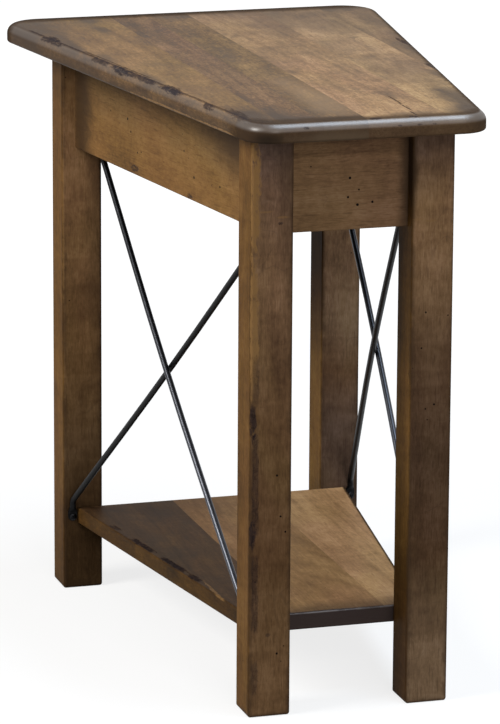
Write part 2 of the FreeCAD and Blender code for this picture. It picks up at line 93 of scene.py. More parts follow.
class Paint:
    """A material's node tree, with short calls for the nodes that the finishes share."""

    def __init__(self, name):
        self.material = bpy.data.materials.new(name)
        self.material.use_nodes = True
        self.tree = self.material.node_tree
        self.tree.nodes.clear()
        output = self.tree.nodes.new("ShaderNodeOutputMaterial")
        self.shader = self.tree.nodes.new("ShaderNodeBsdfPrincipled")
        self.tree.links.new(self.shader.outputs["BSDF"], output.inputs["Surface"])
        coordinates = self.tree.nodes.new("ShaderNodeTexCoord")
        self.place = coordinates.outputs["Object"]
        self.at = self.axes(self.place)
        self.facing = self.axes(coordinates.outputs["Normal"])

    def axes(self, vector):
        """A vector's X, Y and Z, by name."""
        node = self.tree.nodes.new("ShaderNodeSeparateXYZ")
        self.put(node.inputs[0], vector)
        return node.outputs

    def put(self, socket, value):
        """Links one socket to another, or sets it to a plain value."""
        if isinstance(value, bpy.types.NodeSocket):
            self.tree.links.new(value, socket)
        else:
            socket.default_value = value

    def give(self, name, value):
        """Gives one of the shader's own inputs a value."""
        self.put(self.shader.inputs[name], value)

    def math(self, operation, *values):
        node = self.tree.nodes.new("ShaderNodeMath")
        node.operation = operation
        for socket, value in zip(node.inputs, values):
            self.put(socket, value)
        return node.outputs[0]

    def times(self, first, second):
        return self.math("MULTIPLY", first, second)

    def most(self, *values):
        """The largest of some values, or nought where there are none."""
        largest = 0.0
        for value in values:
            largest = self.math("MAXIMUM", largest, value)
        return largest

    def vector(self, operation, *values):
        node = self.tree.nodes.new("ShaderNodeVectorMath")
        node.operation = operation
        for socket, value in zip(node.inputs, values):
            self.put(socket, value)
        return node.outputs["Value" if operation in ("DOT_PRODUCT", "LENGTH", "DISTANCE") else "Vector"]

    def noise(self, at, scale, detail=2.0, roughness=0.5, distortion=0.0):
        """Soft noise from 0 to 1 at a place."""
        node = self.tree.nodes.new("ShaderNodeTexNoise")
        self.put(node.inputs["Vector"], at)
        self.put(node.inputs["Scale"], scale)
        self.put(node.inputs["Detail"], detail)
        self.put(node.inputs["Roughness"], roughness)
        self.put(node.inputs["Distortion"], distortion)
        return node.outputs["Fac"]

    def stray(self, noise, reach, value):
        """A value pushed to and fro by a noise, by half a reach each way."""
        return self.math("MULTIPLY_ADD", self.math("SUBTRACT", noise, 0.5), reach, value)

    def cells(self, at, scale):
        """Distance to the nearest of some scattered points, in the place's own units."""
        node = self.tree.nodes.new("ShaderNodeTexVoronoi")
        self.put(node.inputs["Vector"], at)
        self.put(node.inputs["Scale"], scale)
        return self.math("DIVIDE", node.outputs["Distance"], scale)

    def steps(self, value, low, high, at_low=0.0, at_high=1.0):
        """A smooth change from one value to another between two limits, flat outside them."""
        node = self.tree.nodes.new("ShaderNodeMapRange")
        node.interpolation_type = "SMOOTHSTEP"
        for name, given in (("Value", value), ("From Min", low), ("From Max", high),
                            ("To Min", at_low), ("To Max", at_high)):
            self.put(node.inputs[name], given)
        return node.outputs["Result"]

    def mix(self, share, first, second, way="MIX"):
        """One colour over another by a share."""
        node = self.tree.nodes.new("ShaderNodeMix")
        node.data_type = "RGBA"
        node.blend_type = way
        self.put(node.inputs[0], share)
        self.put(node.inputs[6], first)
        self.put(node.inputs[7], second)
        return node.outputs[2]

    def ramp(self, value, stops):
        """A row of colours along a value; one stop is the same all along."""
        node = self.tree.nodes.new("ShaderNodeValToRGB")
        self.put(node.inputs["Fac"], value)
        row = node.color_ramp.elements
        while len(row) < len(stops):
            row.new(0.5)
        while len(row) > len(stops):
            row.remove(row[-1])
        for element, (position, colour) in zip(row, stops):
            element.position = position
            element.color = colour
        return node.outputs["Color"]

    def inside(self, face):
        """How far a place lies inside a face, which is given by its inward normal and offset."""
        normal, offset = face
        return self.math("ADD", self.vector("DOT_PRODUCT", self.place, normal), offset)

    def from_edge(self, faces):
        """Distance to the nearest edge, which is that to the second nearest of the faces."""
        first, *others = [self.inside(face) for face in faces]
        near, second = first, None
        for here in others:
            farther = self.math("MAXIMUM", near, here)
            second = farther if second is None else self.math("MINIMUM", second, farther)
            near = self.math("MINIMUM", near, here)
        return second

    def relief(self, height, distance, strength):
        """Bump from a height from 0 to 1 that stands for a distance."""
        node = self.tree.nodes.new("ShaderNodeBump")
        self.put(node.inputs["Strength"], strength)
        self.put(node.inputs["Distance"], distance)
        self.put(node.inputs["Height"], height)
        self.give("Normal", node.outputs["Normal"])


# Faces of the parts, as inward normals and offsets
def box_faces(low, high):
    """A box's four sides and its bottom."""
    return {"left": ((1, 0, 0), -low.x), "right": ((-1, 0, 0), high.x),
            "front": ((0, 1, 0), -low.y), "back": ((0, -1, 0), high.y), "bottom": ((0, 0, 1), -low.z)}


def slab_faces(half_front, half_back, low, high):
    """A tapered slab's six faces."""
    slope = (half_back - half_front) / (high.y - low.y)
    size = math.hypot(1, slope)
    start = half_front - slope * low.y
    faces = box_faces(low, high)
    faces["left"] = ((1 / size, slope / size, 0), start / size)
    faces["right"] = ((-1 / size, slope / size, 0), start / size)
    faces["top"] = ((0, 0, -1), high.z)
    return faces


def corner_faces(half_front, half_back, low, high, radius_front, radius_back):
    """Planes across a slab's rounded corners, at the middle of each arc."""
    slope = (half_back - half_front) / (high.y - low.y)
    size = math.hypot(1, slope)
    ends = (("front", -1, low.y, half_front, radius_front), ("back", 1, high.y, half_back, radius_back))
    faces = {}
    for hand, side in (("left", -1), ("right", 1)):
        for end, ahead, y, half, radius in ends:
            across = Vector((side / size, -slope / size))
            along = Vector((0, ahead))
            out = (across + along).normalized()
            opening = math.sqrt((1 + across.dot(along)) / 2)
            reach = Vector((side * half, y)).dot(out) - radius * (1 / opening - 1)
            faces[f"{end} {hand}"] = ((-out.x, -out.y, 0), reach)
    return faces


# Dark glaze, which also serves as painted shade, the black of pits and cracks, knocked places, and wood
# that is rubbed bare
GLAZE_AND_SHADE = tone(56, 42, 30)
PIT = tone(14, 10, 8)
SCRAPED = tone(38, 31, 34)
RUBBED = tone(128, 97, 60)

# The wood's noises: share along the grain, scale, detail, roughness and distortion
wood_layers = {
    "growth": (0.14, 7.0, 2.0, 0.4, 0.3),
    "wide": (0.2, 17.0, 3.0, 0.5, 0.4),
    "stain": (0.5, 24.0, 4.0, 0.62, 0.5),
    "curl": (3.4, 19.0, 2.0, 0.5, 0.8),
    "streaks": (0.045, 210.0, 3.0, 0.6, 0.0),
    "fibres": (0.10, 820.0, 3.0, 0.7, 0.0),
    "mottle": (0.6, 330.0, 2.0, 0.6, 0.0),
    "flecks": (0.09, 620.0, 1.0, 0.4, 0.0),
    "hue": (0.45, 11.0, 2.0, 0.5, 0.6),
    "pale hairs": (0.6, 17.0, 1.0, 0.5, 1.2),
    "dark hairs": (0.8, 13.0, 1.0, 0.5, 1.4),
    "patches": (1.0, 21.0, 1.0, 0.5, 0.0),
    "ragged": (1.0, 95.0, 4.0, 0.65, 0.6),
    "slow": (1.0, 24.0, 2.0, 0.5, 0.0),
    "scratches": (0.35, 300.0, 3.0, 0.7, 0.5),
}
# How far some of them move the colour between dark and light
layer_weights = {
    "wide": 0.60,
    "stain": 0.72,
    "curl": 0.26,
    "streaks": 0.34,
    "fibres": 0.46,
    "mottle": 0.34,
}
ring_weight = 0.10
ring_rate = 120.0
ring_sharpness = 3.0
# Where the three tones lie between dark and light
tone_stops = (0.18, 0.5, 0.82)
fleck_cover = 0.38
greener = (1.0, 1.0, 0.95, 1)
redder = (1.02, 0.98, 1.02, 1)
pore_scale = 46.0
pore_radius = 0.0009
pore_cover = 0.85
# How far the fades' stain and painted shade wander up and down, and how ragged and wide a burnished edge
# is
fade_wander = 0.06
edge_wander = 0.0065
burnish_reach = 0.016
burnish_least = 0.001
burnish_cover = 0.86
glaze_cover = 0.45
crack_cover = 0.6
scrape_end = 0.012
# Roughness of sound wood, and what fibres, stain and wear add to it
sound_roughness = 0.40
fibre_roughness = 0.14
stain_roughness = 0.12
worn_roughness = 0.45
end_grain_share = 0.85
wax_roughness = 0.38
wax_index = 1.9
# Upward looks between which the wax comes to shine, and between which it fades to a flat face's share
shine_looks = (0.10, 0.50)
flat_looks = (0.86, 0.98)
flat_shine = 0.06
# Height of the relief, in units of its depth
fibre_height = 0.35
stain_height = 1.2
rub_depth = 0.3
knock_depth = 1.4
hole_depth = 3.0
relief_depth = 0.00035
relief_strength = 0.5


class Wood(Paint):
    """Maple under a dark stain and wax. Each call lays one thing over what is there already."""

    def __init__(self, name, grain, shift, tones, angle=0.0, **more):
        """Grain along an axis, turned by an angle, in a dark, a middle and a light tone."""
        super().__init__(name)
        self.along = "xyz".index(grain)
        self.plain = self.turned(angle, shift)
        self.layers = {}
        self.dark, self.middle, self.light = [tone(*display) for display in tones]
        self.colour = self.figure(more)
        self.height = self.times(self.layer("fibres"), fibre_height)
        self.height = self.math("MULTIPLY_ADD", self.layer("stain"), stain_height, self.height)
        self.roughness = self.math("MULTIPLY_ADD", self.layer("fibres"), fibre_roughness, sound_roughness)
        self.roughness = self.math("MULTIPLY_ADD", self.layer("stain"), stain_roughness, self.roughness)
        self.knocked = 0.0

    def turned(self, angle, shift):
        """The place turned about Z, and shifted so that each board has its own figure."""
        turn = self.tree.nodes.new("ShaderNodeMapping")
        turn.vector_type = "POINT"
        self.put(turn.inputs["Vector"], self.place)
        turn.inputs["Rotation"].default_value = (0, 0, angle)
        return self.vector("ADD", turn.outputs["Vector"], shift)

    def layer(self, name):
        """One of the wood's noises, squeezed along the grain, made when it is first wanted."""
        if name not in self.layers:
            share, *noise = wood_layers[name]
            stretch = [1.0, 1.0, 1.0]
            stretch[self.along] = share
            self.layers[name] = self.noise(self.vector("MULTIPLY", self.plain, tuple(stretch)), *noise)
        return self.layers[name]

    def cover(self, share, colour):
        self.colour = self.mix(share, self.colour, colour)

    def sink(self, share, depth):
        self.height = self.math("SUBTRACT", self.height, self.times(share, depth))

    def figure(self, more):
        """Growth rings, curl, fibres and flecks under uneven stain; more says how strong some are."""
        # The rings are contour lines of slow noise, which curve and close as in flat-sawn boards
        rings = self.math("SINE", self.times(self.layer("growth"), ring_rate))
        rings = self.math("POWER", self.math("MULTIPLY_ADD", rings, 0.5, 0.5), ring_sharpness)
        level = self.math("MULTIPLY_ADD", rings, -ring_weight * more.get("rings", 1.0), 0.5)
        for name, weight in layer_weights.items():
            level = self.stray(self.layer(name), weight * more.get(name, 1.0), level)
        colour = self.ramp(level, list(zip(tone_stops, (self.dark, self.middle, self.light))))
        fleck = self.steps(self.layer("flecks"), 0.60, 0.70)
        colour = self.mix(self.times(fleck, fleck_cover), colour, self.dark)
        hue = self.mix(self.steps(self.layer("hue"), 0.35, 0.65), greener, redder)
        return self.mix(1.0, colour, hue, "MULTIPLY")

    def hair_lines(self, strength):
        """Fine wandering lines where a noise crosses its middle: pale in patches, and dark."""
        patches = self.steps(self.layer("patches"), 0.48, 0.62)
        for name, middle, width, share, colour in (
                ("pale hairs", 0.50, 0.006, self.times(patches, strength), self.light),
                ("dark hairs", 0.48, 0.005, strength, GLAZE_AND_SHADE)):
            aside = self.math("ABSOLUTE", self.math("SUBTRACT", self.layer(name), middle))
            self.cover(self.times(self.steps(aside, 0.0, width, 1.0, 0.0), share), colour)

    def fade(self, axis, rows):
        """Stain and painted light and shade by height on faces looking down an axis: heights, and red,
        green, blue shares.
        """
        wander = self.stray(self.layer("stain"), fade_wander, self.at["Z"])
        towards = self.steps(self.facing[axis], -0.9, -0.3, 1.0, 0.0)
        stops = [(z / table_height, (*shade, 1)) for z, *shade in rows]
        left = self.ramp(self.math("DIVIDE", wander, table_height), stops)
        self.cover(towards, self.mix(1.0, self.colour, left, "MULTIPLY"))

    def pores(self):
        """Scattered dark pits."""
        pits = self.steps(self.cells(self.plain, pore_scale), pore_radius * 2 / 3, pore_radius, 1.0, 0.0)
        self.cover(self.times(pits, pore_cover), PIT)
        self.sink(pits, 1.0)

    def band(self, face, depth):
        """One within a depth of a face and nought beyond it, with a ragged border."""
        inside = self.stray(self.layer("ragged"), 0.4 * depth, self.inside(face))
        return self.steps(inside, depth * 0.4, depth, 1.0, 0.0)

    def burnish(self, faces, worn, ends=(), end_depth=0.0, glazed=()):
        """Edges rubbed dark, end grain burnt darker to a depth, and glaze along some sides."""
        slow = self.layer("slow")
        edge = self.stray(self.layer("ragged"), edge_wander, self.from_edge(faces))
        reach = self.math("MULTIPLY_ADD", slow, burnish_reach * worn, burnish_least)
        edges = self.times(self.steps(edge, 0.0, reach, 1.0, 0.0), self.steps(slow, 0.25, 0.7, 0.45, 1.0))
        self.end = self.most(*[self.band(face, end_depth) for face in ends])
        glaze = self.most(*[self.band(face, depth) for face, depth in glazed])
        self.glaze = self.times(glaze, self.math("SUBTRACT", 1.0, self.end))
        self.burnished = self.most(edges, self.end, self.glaze)
        self.cover(self.times(self.burnished, burnish_cover), GLAZE_AND_SHADE)
        self.cover(self.times(self.glaze, glaze_cover), PIT)

    def away(self, centre, size):
        """Distance from a point, in a size of its own along each axis."""
        off = self.vector("DIVIDE", self.vector("SUBTRACT", self.place, centre), size)
        return self.vector("LENGTH", off)

    def tint_and_shade(self, centre, size, strength, tint=GLAZE_AND_SHADE):
        """A soft place of another tint: thicker glaze in some places, painted shade in others."""
        far = self.stray(self.layer("stain"), 1.2, self.away(centre, size))
        self.cover(self.times(self.steps(far, 0.2, 1.25, 1.0, 0.0), strength), tint)

    def broken(self, near, strength, gaps):
        """A mark with gaps in it, where near is high."""
        whole = self.steps(self.stray(self.layer("scratches"), gaps, near), 0.40, 1.10)
        return self.times(whole, strength)

    def rub(self, centre, size, strength):
        """A place that is rubbed light."""
        mark = self.broken(self.steps(self.away(centre, size), 0.40, 1.30, 1.0, 0.0), strength, 2.2)
        self.cover(mark, RUBBED)
        self.sink(mark, rub_depth)

    def knock(self, near, strength, gaps):
        """A dark, cracked dent."""
        mark = self.broken(near, strength, gaps)
        self.cover(mark, SCRAPED)
        self.sink(mark, knock_depth)
        aside = self.math("ABSOLUTE", self.math("SUBTRACT", self.layer("ragged"), 0.5))
        cracks = self.steps(aside, 0.015, 0.045, 1.0, 0.0)
        self.cover(self.times(self.times(mark, cracks), crack_cover), PIT)
        self.knocked = self.most(self.knocked, mark)

    def scuff(self, centre, size, strength):
        """Knocks round a point."""
        self.knock(self.steps(self.away(centre, size), 0.40, 1.30, 1.0, 0.0), strength, 2.2)

    def scrape(self, face, inset, width, start, finish, strength):
        """Knocks in a row beside a face, from a start to a finish along the board."""
        aside = self.math("ABSOLUTE", self.math("SUBTRACT", self.inside(face), inset))
        near = self.steps(aside, width * 0.3, width * 1.2, 1.0, 0.0)
        run = self.at["XYZ"[self.along]]
        near = self.times(near, self.steps(run, start - scrape_end, start + scrape_end))
        near = self.times(near, self.steps(run, finish - scrape_end, finish + scrape_end, 1.0, 0.0))
        self.knock(near, strength, 1.6)

    def hole(self, centre, radius):
        """A worm hole: a small dark pit with a soft rim."""
        far = self.vector("DISTANCE", self.place, centre)
        pit = self.steps(far, radius * 0.7, radius * 1.15, 1.0, 0.0)
        self.cover(pit, PIT)
        self.sink(pit, hole_depth)

    def mark(self, tints_and_shade=(), rubs=(), scuffs=(), scrapes=(), holes=()):
        """Marks of every kind, one kind over another."""
        for lay, rows in ((self.tint_and_shade, tints_and_shade), (self.rub, rubs), (self.scuff, scuffs),
                          (self.scrape, scrapes), (self.hole, holes)):
            for row in rows:
                lay(*row)

    def wax(self, coat, end_coat=0.0, polished=()):
        """Wax on burnished wood: it shines where an edge faces up, and worn places stay matt."""
        harm = self.most(self.knocked, self.glaze)
        matt = self.most(harm, self.times(self.end, end_grain_share))
        self.roughness = self.math("MULTIPLY_ADD", matt, worn_roughness, self.roughness)
        bands = [self.times(self.band(face, depth), weight) for face, depth, weight in polished]
        shine = self.most(self.times(self.burnished, coat), self.times(self.end, end_coat), *bands)
        upward = self.times(self.steps(self.facing["Z"], *shine_looks), self.math("SUBTRACT", 1.0, harm))
        upward = self.times(upward, self.steps(self.facing["Z"], *flat_looks, 1.0, flat_shine))
        self.give("Coat Weight", self.times(shine, upward))
        self.give("Coat Roughness", wax_roughness)
        self.give("Coat IOR", wax_index)

    def finish(self, gloss=0.03):
        """Hands over the material."""
        self.give("Base Color", self.colour)
        self.give("Specular IOR Level", gloss)
        self.give("Roughness", self.roughness)
        self.relief(self.height, relief_depth, relief_strength)
        return self.material


def dress(name, material):
    """Gives a CAD node one material throughout."""
    mesh = nodes[name].data
    for index in range(max(1, len(mesh.materials))):
        if index < len(mesh.materials):
            mesh.materials[index] = material
        else:
            mesh.materials.append(material)


# Marks are listed one by one: a point, a size along each axis, a strength and at times a tint
def on_top(*rows, deep=0.02):
    """Marks on the top's upper face: across, along, half width, half length and strength."""
    return [((x, y, top_high.z), (across, along, deep), *rest) for x, y, across, along, *rest in rows]


def on_front(y, *rows, deep=0.004):
    """Marks on a face that looks forward: across, up, half width, half height and strength."""
    return [((x, y, z), (across, deep, up), *rest) for x, z, across, up, *rest in rows]


def front_holes(y, *rows):
    """Worm holes in a face that looks forward: across, up and radius."""
    return [((x, y, z), radius) for x, z, radius in rows]


def shifted(start, number, step):
    """A shift of the figure, so that no two of several like parts share one."""
    return (start + step[0] * number, step[1] * number, step[2] * number)


board_step = (0.37, 0.53, 0.19)
post_step = (0.41, 0.7, 0.3)
block_step = (0.3, 0.2, 0.5)

# Top: six boards, left to right
top_faces = slab_faces(top_half_front, top_half_back, top_low, top_high)
top_faces.update(corner_faces(top_half_front, top_half_back, top_low, top_high,
                              top_radius_front, top_radius_back))
top_ends = [top_faces[name] for name in ("front", "front left", "front right")]
top_glazed = [(top_faces[name], depth) for name, depth in (
    ("right", 0.012), ("back", 0.036), ("back left", 0.020), ("back right", 0.018))]
top_polished = [(top_faces["left"], 0.013, 0.35)]
# The top's left edge is painted darker towards its lower arris, as shade, and bluer above, as sheen
top_edge_painted_shade_and_sheen = ((0.588, 0.50, 0.50, 0.50), (0.600, 0.70, 0.72, 0.78), (0.609, 0.80, 0.82, 0.88))
# Each board's dark, middle and light tone, its burnt end's depth and the wax there, more to the right
top_boards = (
    (((71, 50, 29), (106, 79, 46), (141, 109, 70)), 0.032, 0.58),
    (((47, 33, 21), (90, 65, 42), (134, 102, 72)), 0.032, 0.58),
    (((51, 37, 22), (92, 68, 41), (135, 105, 68)), 0.032, 0.64),
    (((97, 72, 47), (141, 108, 75), (173, 140, 102)), 0.024, 0.68),
    (((103, 77, 50), (147, 116, 80), (177, 145, 105)), 0.024, 0.76),
    (((86, 64, 43), (125, 97, 67), (156, 125, 90)), 0.024, 0.92),
)

# Knocks and cracks of the top
front_curve = top_low.y + 0.0005
front_shoulder = top_low.y + 0.0075
left_knocks = on_top((-0.182, 0.186, 0.0055, 0.024, 0.8), (-0.162, -0.002, 0.0075, 0.030, 0.8),
                     (-0.141, -0.122, 0.0080, 0.030, 0.8), (-0.131, -0.211, 0.0055, 0.018, 0.8),
                     (-0.117, -0.268, 0.0090, 0.040, 0.5), (-0.104, -0.302, 0.016, 0.018, 0.25),
                     deep=0.008)
crack = on_top((0.053, -0.232, 0.0016, 0.026, 0.75), (0.051, -0.272, 0.0012, 0.028, 0.85),
               (0.048, -0.304, 0.0014, 0.016, 0.85), deep=0.006)
right_knocks = on_top((0.167, 0.080, 0.004, 0.034, 0.7), (0.148, -0.062, 0.004, 0.016, 0.7), deep=0.006)
left_dent = on_front(front_curve, (-0.067, 0.605, 0.0045, 0.0018, 0.7))
right_dents = on_front(front_curve, (0.027, 0.603, 0.0030, 0.0012, 0.6),
                       (0.047, 0.603, 0.0035, 0.0012, 0.6), (0.062, 0.603, 0.0030, 0.0012, 0.6))
right_dents += on_front(front_shoulder, (0.0045, top_high.z, 0.0080, 0.0020, 0.6),
                        (0.043, top_high.z, 0.0060, 0.0020, 0.7))
# The left edge is scraped: inset, width, start, finish and strength
left_scrapes = [(top_faces["left"], *row) for row in (
    (0.0062, 0.0046, 0.028, 0.078, 0.75), (0.0062, 0.0046, -0.088, 0.030, 0.80),
    (0.0062, 0.0046, -0.152, -0.094, 0.80), (0.0062, 0.0046, 0.150, 0.210, 0.80),
    (0.0088, 0.0026, -0.300, 0.250, 0.60), (0.0125, 0.0022, -0.060, 0.110, 0.50))]
# Its lower arris is worn to bare wood
lower_arris = top_low.z + 0.002
left_rubs = [((-0.150, -0.115, lower_arris), (0.030, 0.110, 0.0017), 1.0),
             ((-0.133, -0.235, lower_arris), (0.030, 0.065, 0.0017), 1.0)]

# Darker places on the top: painted shade towards its back and back right, and glaze along its right edge,
# on its left edge and in its front left corner
far_painted_shade = on_top((0.060, 0.315, 0.200, 0.060, 0.50))
right_painted_shade = on_top((0.105, 0.215, 0.070, 0.100, 0.40))
edge_glaze = on_top((0.155, 0.000, 0.060, 0.260, 0.25), deep=0.05)
back_painted_shade = on_top((0.080, 0.300, 0.22, 0.40, 0.30), deep=0.05) + far_painted_shade + right_painted_shade
left_glaze = [((-0.195, 0.170, 0.600), (0.030, 0.150, 0.03), 0.45)]
corner_glaze = [((-0.110, -0.315, 0.602), (0.024, 0.018, 0.020), 0.95)]
corner_black = [((-0.104, -0.321, 0.595), (0.020, 0.014, 0.0085), 0.75, tone(24, 18, 13))]
# Under its highlight the front edge is worn lighter, left of the middle
front_worn = on_front(top_low.y, (-0.034, 0.595, 0.064, 0.0085, 0.80, tone(84, 69, 53)), deep=0.010)
top_marks = (
    {"tints_and_shade": corner_glaze + front_worn + corner_black + left_glaze + on_top(
        (-0.119, 0.230, 0.010, 0.034, 0.75), (-0.117, 0.290, 0.014, 0.030, 0.75),
        (-0.190, 0.250, 0.042, 0.085, 0.80), (-0.104, -0.270, 0.020, 0.056, 0.92),
        (-0.176, 0.150, 0.012, 0.060, 0.75), (-0.160, 0.060, 0.010, 0.045, 0.60),
        (-0.146, -0.060, 0.008, 0.060, 0.60)),
     "rubs": left_rubs, "scuffs": left_knocks, "scrapes": left_scrapes},
    {"tints_and_shade": on_top(
        (-0.087, -0.190, 0.008, 0.030, 0.60), (-0.085, -0.290, 0.026, 0.042, 0.92),
        (-0.070, -0.302, 0.040, 0.018, 0.92)) + front_worn,
     "scuffs": left_dent},
    {"tints_and_shade": on_top((-0.018, -0.200, 0.026, 0.130, 0.38, tone(150, 120, 88))) + far_painted_shade + on_top(
        (-0.030, -0.308, 0.040, 0.012, 0.85)) + front_worn},
    {"tints_and_shade": on_top(
        (0.002, -0.062, 0.007, 0.014, 0.70), (0.050, -0.304, 0.036, 0.012, 0.50),
        (0.056, -0.205, 0.007, 0.034, 0.50)) + back_painted_shade,
     "scuffs": crack + right_dents},
    {"tints_and_shade": on_top(
        (0.120, -0.262, 0.026, 0.110, 0.90), (0.115, -0.100, 0.036, 0.150, 0.38),
        (0.105, -0.300, 0.034, 0.034, 0.85), (0.113, -0.206, 0.006, 0.022, 0.60),
        (0.140, -0.110, 0.008, 0.036, 0.70)) + back_painted_shade},
    {"tints_and_shade": on_top(
        (0.151, -0.060, 0.009, 0.050, 0.80), (0.162, 0.030, 0.010, 0.060, 0.60),
        (0.176, 0.120, 0.010, 0.060, 0.50), (0.180, 0.230, 0.022, 0.070, 0.55),
        (0.164, 0.295, 0.050, 0.020, 0.50)) + edge_glaze + back_painted_shade,
     "scuffs": right_knocks},
)
for i, (tones, end_depth, end_coat) in enumerate(top_boards):
    board = Wood(f"top_wood_{i + 1}", "y", shifted(0.0, i, board_step), tones, fibres=1.7, mottle=1.7)
    board.hair_lines(0.4)
    board.fade("X", top_edge_painted_shade_and_sheen)
    board.pores()
    board.burnish(top_faces.values(), 1.1, top_ends, end_depth, top_glazed)
    board.mark(**top_marks[i])
    board.wax(0.5, end_coat, top_polished)
    dress(top_names[i], board.finish(gloss=0.09))

# Shelf: three boards, left to right
shelf_faces = slab_faces(side_half_front, shelf_high.x, shelf_low, shelf_high)
shelf_burnished = [shelf_faces[name] for name in ("front", "bottom", "top")]
shelf_glazed = [(shelf_faces["right"], 0.004)]
shelf_middle = (shelf_low.z + shelf_high.z) / 2
shelf_tones = (
    ((46, 33, 22), (71, 52, 34), (97, 73, 48)),
    ((101, 75, 48), (133, 102, 68), (161, 129, 91)),
    ((116, 87, 58), (154, 121, 84), (182, 148, 108)),
)
# Its front is painted darker and bluer, burnish with a painted sheen; its left side lighter and warmer,
# painted light
shelf_front_dark_and_painted_sheen = ((0.0, 0.30, 0.41, 0.82),)
shelf_side_painted_light = ((0.0, 1.15, 1.05, 0.62),)
# The last of these lays dark bluish grey on the front edge: burnish with a painted sheen
shelf_tints_and_sheen = [((-0.060, 0.190, shelf_high.z), (0.110, 0.070, 0.02), 0.35),
                 ((0.0, shelf_low.y, shelf_high.z), (0.300, 0.030, 0.02), 0.42),
                 ((0.0, shelf_low.y, shelf_middle), (0.300, 0.0045, 0.030), 0.90, tone(60, 51, 49))]
shelf_dent_places = (-0.040, 0.012, 0.038)
shelf_dents = on_front(shelf_low.y, *[(x, shelf_high.z, 0.016, 0.003, 0.40) for x in shelf_dent_places],
                       deep=0.003)
# The left edge is scraped, and the front of its arris is worn light
shelf_left_marks = {
    "rubs": [((-0.0990, -0.145, shelf_high.z), (0.0028, 0.066, 0.0028), 0.80)],
    "scrapes": [(shelf_faces["left"], 0.0050, 0.0056, *row) for row in (
        (0.020, 0.080, 0.85), (-0.060, 0.005, 0.90), (-0.095, -0.064, 0.8), (0.110, 0.135, 0.5))]}
for i, tones in enumerate(shelf_tones):
    board = Wood(f"shelf_wood_{i + 1}", "y", shifted(1.7, i, board_step), tones, stain=0.7 if i else 1.0)
    board.fade("Y", shelf_front_dark_and_painted_sheen)
    board.fade("X", shelf_side_painted_light)
    board.pores()
    board.burnish(shelf_burnished, 0.4, [shelf_faces["front"]], 0.002, shelf_glazed)
    board.mark(tints_and_shade=shelf_tints_and_sheen, scuffs=shelf_dents, **(shelf_left_marks if i == 0 else {}))
    board.wax(0.1, 0.5)
    dress(shelf_names[i], board.finish())

# Legs. Along the height: stain, painted sheen and painted shade on the front faces; painted shade on the
# left ones
leg_tones = ((76, 54, 32), (108, 80, 48), (134, 103, 66))
leg_stain_and_painted_light = {
    "leg_front_left": ((0.05, 0.92, 0.96, 1.25), (0.14, 0.62, 0.63, 0.76), (0.30, 0.75, 0.78, 0.95),
                       (0.45, 1.18, 1.30, 1.80), (0.53, 1.05, 1.18, 1.90), (0.57, 0.68, 0.82, 1.60)),
    "leg_front_right": ((0.05, 1.06, 1.30, 1.90), (0.15, 0.47, 0.49, 0.66), (0.26, 0.41, 0.44, 0.66),
                        (0.38, 0.60, 0.63, 0.90), (0.51, 1.45, 1.58, 2.15), (0.57, 0.64, 0.72, 1.30)),
    "leg_back_left": ((0.08, 0.38, 0.40, 0.50), (0.16, 0.66, 0.72, 0.95), (0.28, 1.00, 1.02, 1.20),
                      (0.45, 1.55, 1.62, 2.00), (0.54, 1.35, 1.40, 1.75), (0.58, 0.95, 1.00, 1.35)),
    "leg_back_right": ((0.17, 0.62, 0.76, 1.35), (0.225, 0.75, 0.80, 1.10), (0.28, 1.15, 1.40, 2.10),
                       (0.335, 1.22, 1.40, 2.10), (0.40, 1.75, 2.00, 2.70))}
leg_side_painted_shading = {
    "leg_front_left": ((0.0, 0.97, 0.92, 0.78),),
    "leg_front_right": ((0.06, 0.44, 0.40, 0.35), (0.12, 0.52, 0.48, 0.36), (0.16, 0.78, 0.74, 0.54),
                        (0.24, 1.14, 1.10, 0.77), (0.33, 1.16, 1.10, 0.80), (0.38, 0.74, 0.69, 0.52),
                        (0.46, 0.56, 0.51, 0.38)),
    "leg_back_left": ((0.06, 0.62, 0.56, 0.45), (0.13, 0.97, 0.92, 0.74), (0.23, 0.98, 0.91, 0.70),
                      (0.29, 0.80, 0.71, 0.54), (0.36, 1.15, 1.06, 0.80), (0.50, 0.96, 0.90, 0.70),
                      (0.57, 0.66, 0.60, 0.50)),
    "leg_back_right": ((0.17, 1.05, 1.05, 0.80), (0.225, 0.98, 0.99, 0.72), (0.28, 0.52, 0.48, 0.36),
                       (0.31, 0.32, 0.27, 0.18), (0.34, 0.20, 0.16, 0.09), (0.40, 0.15, 0.11, 0.05))}
